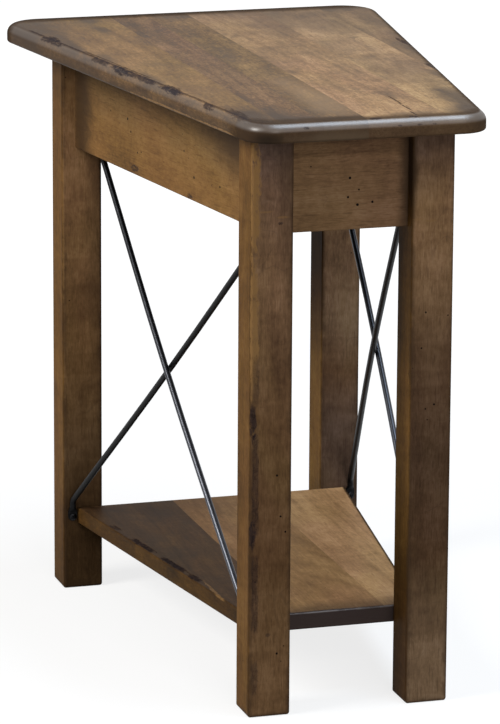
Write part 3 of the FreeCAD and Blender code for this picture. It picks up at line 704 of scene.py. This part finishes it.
# Dark glaze round each foot: its height and strength
foot_half = 0.034
foot_glaze = {"leg_front_left": (0.008, 0.7), "leg_front_right": (0.008, 0.7),
              "leg_back_left": (0.010, 0.8), "leg_back_right": (0.008, 0.7)}
leg_marks = {
    "leg_front_left": {
        # Painted shade down the inner side of its front face, beside the apron
        "tints_and_shade": on_front(leg_low.y, (-0.064, 0.500, 0.015, 0.130, 0.40), deep=0.006),
        # Its outer arris is rubbed above and knocked below
        "rubs": on_front(leg_low.y, (-0.1020, 0.530, 0.0095, 0.090, 0.95),
                         (-0.1020, 0.400, 0.0085, 0.090, 0.90), deep=0.003)
        + on_front(leg_low.y, (-0.090, 0.513, 0.0120, 0.0014, 0.38),
                   (-0.072, 0.507, 0.0100, 0.0016, 0.38)),
        "scuffs": on_front(leg_low.y, (-0.1015, 0.304, 0.0050, 0.022, 0.8),
                           (-0.1015, 0.190, 0.0050, 0.018, 0.8),
                           (-0.074, 0.501, 0.003, 0.002, 0.6), (-0.084, 0.085, 0.003, 0.003, 0.5)),
        "scrapes": [(box_faces(leg_low, leg_high)["left"], 0.0060, 0.0052, *row) for row in (
            (0.085, 0.17, 0.50), (0.185, 0.30, 0.55), (0.32, 0.37, 0.35), (0.02, 0.06, 0.45))],
        "holes": front_holes(leg_low.y, (-0.076, 0.248, 0.0012), (-0.072, 0.206, 0.0011),
                             (-0.067, 0.190, 0.0011), (-0.075, 0.065, 0.0012))},
    # Painted shade in the corner between the front apron and the right leg
    "leg_front_right": {
        "tints_and_shade": [((0.061, -0.261, 0.552), (0.007, 0.022, 0.060), 1.0),
                    ((0.061, -0.226, 0.430), (0.007, 0.018, 0.130), 0.65)],
        "rubs": on_front(leg_low.y, (0.066, 0.497, 0.0080, 0.0014, 0.38),
                         (0.080, 0.495, 0.0080, 0.0014, 0.38)),
        "holes": front_holes(leg_low.y, (0.076, 0.403, 0.0010), (0.072, 0.367, 0.0009),
                             (0.086, 0.309, 0.0011), (0.077, 0.305, 0.0009))},
    "leg_back_left": {
        # Painted shade down the right of its front face
        "tints_and_shade": on_front(back_leg_low.y, (-0.126, 0.420, 0.018, 0.240, 0.45), deep=0.006),
        "rubs": on_front(back_leg_low.y, (-0.1672, 0.400, 0.0026, 0.120, 0.5), deep=0.0026),
        "scuffs": [((-0.168, 0.208, 0.318), (0.006, 0.003, 0.016), 0.6)]},
    "leg_back_right": {}}
for i, (name, marks) in enumerate(leg_marks.items()):
    low, high = box_of(name)
    foot = Vector(((low.x + high.x) / 2, (low.y + high.y) / 2, low.z))
    deep, strength = foot_glaze[name]
    leg = Wood(f"leg_wood_{i + 1}", "z", shifted(2.9, i, post_step), leg_tones,
               rings=0.55, wide=0.55, curl=1.32, streaks=0.6)
    leg.hair_lines(0.2)
    leg.fade("Y", leg_stain_and_painted_light[name])
    leg.fade("X", leg_side_painted_shading[name])
    leg.pores()
    leg.burnish(box_faces(low, high).values(), 0.55)
    leg.tint_and_shade(foot, (foot_half, foot_half, deep), strength)
    leg.mark(**marks)
    leg.wax(0.12)
    dress(name, leg.finish(gloss=0.012))

# Aprons. The side ones slant with the table, and so does their figure
apron_tones = ((92, 66, 38), (132, 99, 58), (158, 123, 78))
# Faces that look forward are painted darker and bluer, as shade and sheen; the left apron darker under
# the top, as shade
apron_front_painted_shade_and_sheen = ((0.0, 0.70, 0.75, 1.10),)
left_apron_painted_shade = ((0.50, 0.96, 0.94, 0.90), (0.53, 0.88, 0.88, 0.88),
                   (0.555, 0.64, 0.66, 0.72), (0.58, 0.46, 0.46, 0.50))
apron_marks = {
    "apron_left": {
        # Painted shade at its back end beside the leg, and under the top near the front leg
        "tints_and_shade": [((-0.150, 0.199, 0.525), (0.016, 0.036, 0.130), 0.88),
                    ((-0.095, -0.185, 0.570), (0.020, 0.120, 0.048), 0.70)],
        "scuffs": [((side_face(y), y, z), size, 0.7) for y, z, size in (
            (0.059, 0.494, (0.006, 0.014, 0.005)), (-0.076, 0.491, (0.006, 0.010, 0.004)))],
        "holes": [((side_face(y), y, z), radius) for y, z, radius in (
            (0.077, 0.543, 0.0016), (0.120, 0.544, 0.0011), (0.069, 0.531, 0.0012),
            (0.052, 0.512, 0.0011), (0.043, 0.514, 0.0010), (-0.062, 0.535, 0.0012),
            (-0.086, 0.512, 0.0017), (-0.147, 0.514, 0.0013))]},
    "apron_front": {
        # Painted shade at its right end, in the corner with the right leg
        "tints_and_shade": on_front(front_apron_low.y, (0.061, 0.540, 0.012, 0.110, 0.9), deep=0.010),
        "holes": front_holes(front_apron_low.y, (0.0007, 0.539, 0.0014), (0.010, 0.527, 0.0009),
                             (-0.0011, 0.520, 0.0012), (0.0087, 0.512, 0.0015), (0.024, 0.514, 0.0013))}}
slant = math.atan(side_slope)
for i, (name, grain, angle) in enumerate((("apron_left", "y", -slant), ("apron_right", "y", slant),
                                          ("apron_front", "x", 0.0), ("apron_back", "x", 0.0))):
    board = Wood(f"apron_wood_{i + 1}", grain, shifted(4.3, i, post_step), apron_tones, angle,
                 rings=0.8, wide=0.8, curl=0.8, stain=0.8)
    board.hair_lines(0.2)
    board.fade("Y", apron_front_painted_shade_and_sheen)
    if name == "apron_left":
        board.fade("X", left_apron_painted_shade)
    board.pores()
    board.mark(**apron_marks.get(name, {}))
    dress(name, board.finish())

# Hidden blocks, buttons and dowels, of bare wood
inner_tones = ((120, 98, 72), (158, 134, 102), (184, 160, 126))
inner_names = sorted(n for n in nodes if n.startswith(("corner_block", "top_button", "shelf_dowels")))
for i, name in enumerate(inner_names):
    block = Wood(f"inner_wood_{i + 1}", "z", shifted(6.1, i, block_step), inner_tones)
    block.pores()
    dress(name, block.finish())


# Steel: its rubbed patches and fine scale, and the heights between which the painted highlight at its
# foot fades out
patch_noise = (60.0, 3.0, 0.6)
scale_noise = (900.0, 3.0, 0.6)
patch_cover = 0.6
scale_roughness = 0.10
scale_depth = 0.00006
scale_strength = 0.6
steel_metallic = 0.85
bright_below = 0.14
dark_above = 0.40


def metal(name, base, roughness, worn_base, painted_low_highlight=None):
    """Blackened or plated steel, with faint scale and rubbed places; it may carry a painted highlight low
    down.
    """
    paint = Paint(name)
    patches = paint.noise(paint.place, *patch_noise)
    scale = paint.noise(paint.place, *scale_noise)
    rubbed = paint.steps(patches, 0.55, 0.75)
    colour = paint.mix(paint.times(rubbed, patch_cover), base, worn_base)
    # A painted highlight, full below bright_below and gone above dark_above
    if painted_low_highlight:
        low = paint.steps(paint.at["Z"], bright_below, dark_above, 1.0, 0.0)
        colour = paint.mix(low, colour, painted_low_highlight)
    paint.give("Base Color", colour)
    paint.give("Roughness", paint.math("MULTIPLY_ADD", scale, scale_roughness, roughness))
    paint.give("Metallic", steel_metallic)
    paint.relief(scale, scale_depth, scale_strength)
    return paint.material


# The rods that fall towards the front carry a painted highlight, brightest low down; the crossing ones
# are painted darker, as in shade
rod_steel = metal("rod_steel", tone(30, 31, 34), 0.26, tone(48, 49, 54), tone(66, 68, 74))
rods_painted_shade = metal("rods_painted_shade", tone(14, 14, 15), 0.42, tone(26, 26, 28))
screw_black = metal("screw_black", tone(20, 20, 22), 0.20, tone(36, 36, 40))
plated = metal("plated_steel", tone(160, 158, 150), 0.3, tone(130, 126, 116))
for side in ("left", "right"):
    dress(f"brace_{side}_outer", rod_steel)
    dress(f"brace_{side}_inner", rods_painted_shade)
for name in ("corner_lag_screws", "corner_apron_screws", "corner_top_screws", "button_screws"):
    dress(name, plated)


# The rods' black screws: domed heads with a cross recess and threaded shanks, for the plain ones
def loose_parts(mesh):
    """Lowest and highest corner of each separate part of a mesh."""
    group = list(range(len(mesh.vertices)))

    def root(index):
        while group[index] != index:
            group[index] = group[group[index]]
            index = group[index]
        return index

    for edge in mesh.edges:
        group[root(edge.vertices[0])] = root(edge.vertices[1])
    parts = {}
    for vertex in mesh.vertices:
        low, high = parts.setdefault(root(vertex.index), (vertex.co.copy(), vertex.co.copy()))
        for axis in range(3):
            low[axis] = min(low[axis], vertex.co[axis])
            high[axis] = max(high[axis], vertex.co[axis])
    return list(parts.values())


screw_turns = 48
head_rise = 0.0024
head_flatness = 0.75
head_undercut = 0.97
# Rings of the dome, as shares of the head's radius, close enough for the recess
dome_shares = (0.06, 0.14, 0.22, 0.30, 0.38, 0.46, 0.54, 0.62, 0.72, 0.82, 0.91, 0.97, 1.0)
shank_radius = 0.0020
tip_share = 0.08
thread_pitch = 0.0012
thread_height = 0.0004
recess_half = 0.00055
recess_reach = 0.0024
recess_depth = 0.0012
recess_rise = 0.35
recess_turn = 0.4
sharp_angle = math.radians(40)


def screw_rings(head_radius, length):
    """Rings from the top of the head to the tip of the shank: radius, height, and if it is the dome's."""
    rings = []
    for share in dome_shares:
        height = head_rise * math.sqrt(1 - head_flatness * share * share) - head_rise
        rings.append((head_radius * share, height, True))
    rim = rings[-1][1]
    rings.append((head_radius, (rim - head_rise) / 2, False))
    rings.append((head_radius * head_undercut, -head_rise, False))
    rings.append((shank_radius, -head_rise, False))
    for step in range(int((length - 2 * shank_radius) / (thread_pitch / 2))):
        groove = 0.0 if step % 2 else thread_height
        rings.append((shank_radius - groove, -head_rise - step * thread_pitch / 2, False))
    rings.append((shank_radius * tip_share, -head_rise - length, False))
    return rings


def recess(radius, angle):
    """How deep the cross recess lies at a place on the dome."""
    arm = min(abs(radius * math.cos(angle)), abs(radius * math.sin(angle)))
    if radius < recess_reach and arm < recess_half:
        return recess_depth * (1 - recess_rise * radius / recess_reach)
    return 0.0


def add_screw(low, high, points, faces):
    """A screw in a plain one's place. Its head looks to the middle of the table's length."""
    middle = (low + high) / 2
    headward = -1 if middle.y > 0 else 1
    top = high.y if headward > 0 else low.y
    rings = screw_rings((high.x - low.x) / 2, (high.y - low.y) - head_rise)
    first = len(points)
    for radius, height, domed in rings:
        for turn in range(screw_turns):
            angle = math.tau * turn / screw_turns
            sunk = recess(radius, angle) if domed else 0.0
            points.append((middle.x + radius * math.cos(angle + recess_turn),
                           top + headward * (height - sunk),
                           middle.z + radius * math.sin(angle + recess_turn)))
    for ring in range(len(rings) - 1):
        for turn in range(screw_turns):
            a = first + ring * screw_turns + turn
            b = first + ring * screw_turns + (turn + 1) % screw_turns
            face = (a, b, b + screw_turns, a + screw_turns)
            faces.append(face if headward > 0 else face[::-1])
    last = first + (len(rings) - 1) * screw_turns
    cap = tuple(range(first, first + screw_turns))
    tip = tuple(range(last, last + screw_turns))
    faces.append(cap[::-1] if headward > 0 else cap)
    faces.append(tip if headward > 0 else tip[::-1])


screw_points = []
screw_faces = []
for low, high in loose_parts(nodes["brace_screws"].data):
    add_screw(low, high, screw_points, screw_faces)
screw_mesh = bpy.data.meshes.new("rod_screws")
screw_mesh.from_pydata(screw_points, [], screw_faces)
screw_mesh.shade_smooth()
screw_mesh.set_sharp_from_angle(angle=sharp_angle)
rod_screws = bpy.data.objects.new("rod_screws", screw_mesh)
bpy.context.scene.collection.objects.link(rod_screws)
screw_mesh.materials.append(screw_black)
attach(rod_screws, "root")
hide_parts("brace_screws")


# Floor and surroundings: white where the camera, a reflection or clear glass shows them
def shown(tree):
    """One for rays that show a backdrop, and nought for those that light the table."""
    path = tree.nodes.new("ShaderNodeLightPath")
    share = path.outputs["Is Camera Ray"]
    for ray in ("Is Glossy Ray", "Is Transmission Ray"):
        either = tree.nodes.new("ShaderNodeMath")
        either.operation = "MAXIMUM"
        tree.links.new(share, either.inputs[0])
        tree.links.new(path.outputs[ray], either.inputs[1])
        share = either.outputs[0]
    return share


# Reach of the floor, and how its paper glows: a little less near the table, where its shadow lies
floor_reach = 14.0
glow_near = 0.80
glow_starts = 0.3
glow_ends = 2.4
paper_grey = 0.22
floor_corners = [(x * floor_reach, y * floor_reach, 0) for x, y in ((-1, -1), (1, -1), (1, 1), (-1, 1))]
floor_mesh = bpy.data.meshes.new("floor")
floor_mesh.from_pydata(floor_corners, [], [(0, 1, 2, 3)])
floor = bpy.data.objects.new("floor", floor_mesh)
bpy.context.scene.collection.objects.link(floor)
paper = Paint("floor_paper")
paper.give("Base Color", (paper_grey, paper_grey, paper_grey, 1))
paper.give("Roughness", 0.9)
paper.give("Specular IOR Level", 0.0)
glow = paper.steps(paper.vector("LENGTH", paper.place), glow_starts, glow_ends, glow_near, 1.0)
paper.give("Emission Color", (1, 1, 1, 1))
paper.give("Emission Strength", paper.times(shown(paper.tree), glow))
floor_mesh.materials.append(paper.material)

world = bpy.data.worlds.new("surroundings")
bpy.context.scene.world = world
world.use_nodes = True
sky = world.node_tree
sky.nodes.clear()
sky_out = sky.nodes.new("ShaderNodeOutputWorld")
choose = sky.nodes.new("ShaderNodeMixShader")
sky.links.new(shown(sky), choose.inputs["Fac"])
for socket, colour, strength in ((choose.inputs[1], (0.93, 0.96, 1.0, 1), 0.08),
                                 (choose.inputs[2], (1, 1, 1, 1), 1.0)):
    background = sky.nodes.new("ShaderNodeBackground")
    background.inputs["Color"].default_value = colour
    background.inputs["Strength"].default_value = strength
    sky.links.new(background.outputs[0], socket)
sky.links.new(choose.outputs[0], sky_out.inputs["Surface"])


def soft_box(name, place, target, size, power, colour):
    """A large soft lamp aimed at a point."""
    data = bpy.data.lights.new(name, "AREA")
    data.shape = "RECTANGLE"
    data.size, data.size_y = size
    data.energy = power
    data.color = colour
    lamp = bpy.data.objects.new(name, data)
    bpy.context.scene.collection.objects.link(lamp)
    aim = Vector(target) - Vector(place)
    lamp.location = place
    lamp.rotation_euler = aim.to_track_quat("-Z", "Y").to_euler()


soft_box("overhead", (0.7, -0.5, 3.1), (0.7, 0.0, 0.5), (1.0, 1.9), 72.0, (0.72, 0.85, 1.0))
soft_box("left", (-2.75, -0.5, 2.3), (0, 0, 0.35), (1.3, 1.3), 98.0, (1.0, 0.98, 0.94))
soft_box("front", (0.0, -3.5, 1.35), (0, 0, 0.35), (1.5, 1.6), 60.0, (1.0, 0.98, 0.97))

# Camera, from the fit of the table's edges in the photograph; the focal length is in its pixels
camera_place = Vector((-1.35728, -4.3748, 1.43016))
camera_heading = math.radians(16.965)
camera_tilt = math.radians(13.935)
camera_roll = math.radians(0.334)
camera_focal = 4543.0
photo_height = 724.0
sensor = 36.0
level_right = Vector((math.cos(camera_heading), -math.sin(camera_heading), 0))
ahead = Vector((math.sin(camera_heading) * math.cos(camera_tilt),
                math.cos(camera_heading) * math.cos(camera_tilt), -math.sin(camera_tilt)))
level_up = level_right.cross(ahead)
right = math.cos(camera_roll) * level_right + math.sin(camera_roll) * level_up
up = math.cos(camera_roll) * level_up - math.sin(camera_roll) * level_right
camera_data = bpy.data.cameras.new("camera")
camera_data.sensor_width = sensor
camera_data.lens = camera_focal / photo_height * sensor
camera_data.clip_start = 0.05
camera_data.clip_end = 100.0
camera = bpy.data.objects.new("camera", camera_data)
bpy.context.scene.collection.objects.link(camera)
camera.matrix_world = Matrix(((right.x, up.x, -ahead.x, camera_place.x),
                              (right.y, up.y, -ahead.y, camera_place.y),
                              (right.z, up.z, -ahead.z, camera_place.z),
                              (0, 0, 0, 1)))
bpy.context.scene.camera = camera
bpy.context.scene.view_settings.view_transform = "Standard"
